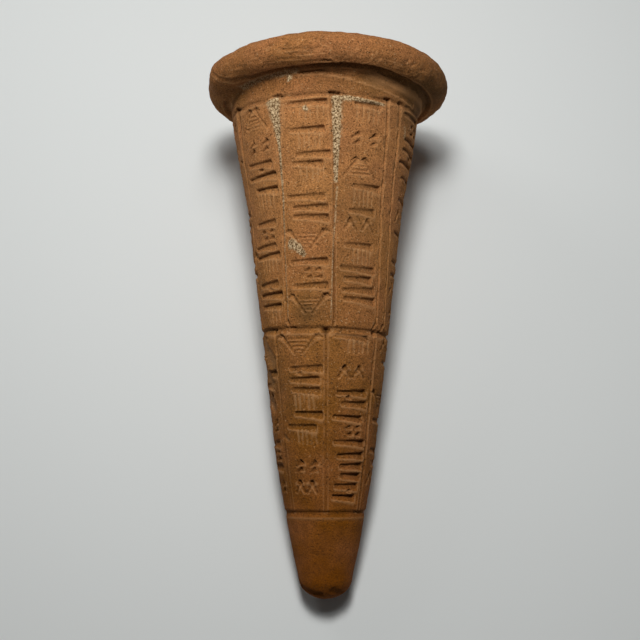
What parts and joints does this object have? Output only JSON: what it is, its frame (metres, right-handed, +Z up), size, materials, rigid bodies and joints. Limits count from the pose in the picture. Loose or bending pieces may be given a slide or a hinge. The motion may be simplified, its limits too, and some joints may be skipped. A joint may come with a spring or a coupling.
{
  "type": "foundation cone",
  "caption": "Fired clay foundation cone: a tapering shank with a blunt tip and a mushroom head, ruled into cases of stamped strokes, lying on its side.",
  "frame": {"origin": "on the floor that the cone lies on, under the middle of its bounding box", "axes": "+Z up; +Y along the cone's length, from its tip to its head, seen from above; +X to the right of the cone seen from above with its head away from the viewer"},
  "size_m": [0.0579, 0.1256, 0.0565],
  "materials": {
    "fired_clay": "matt, sandy, unglazed"
  },
  "bodies": {
    "root": {"foundation_cone": "fired_clay"}
  },
  "joints": []
}
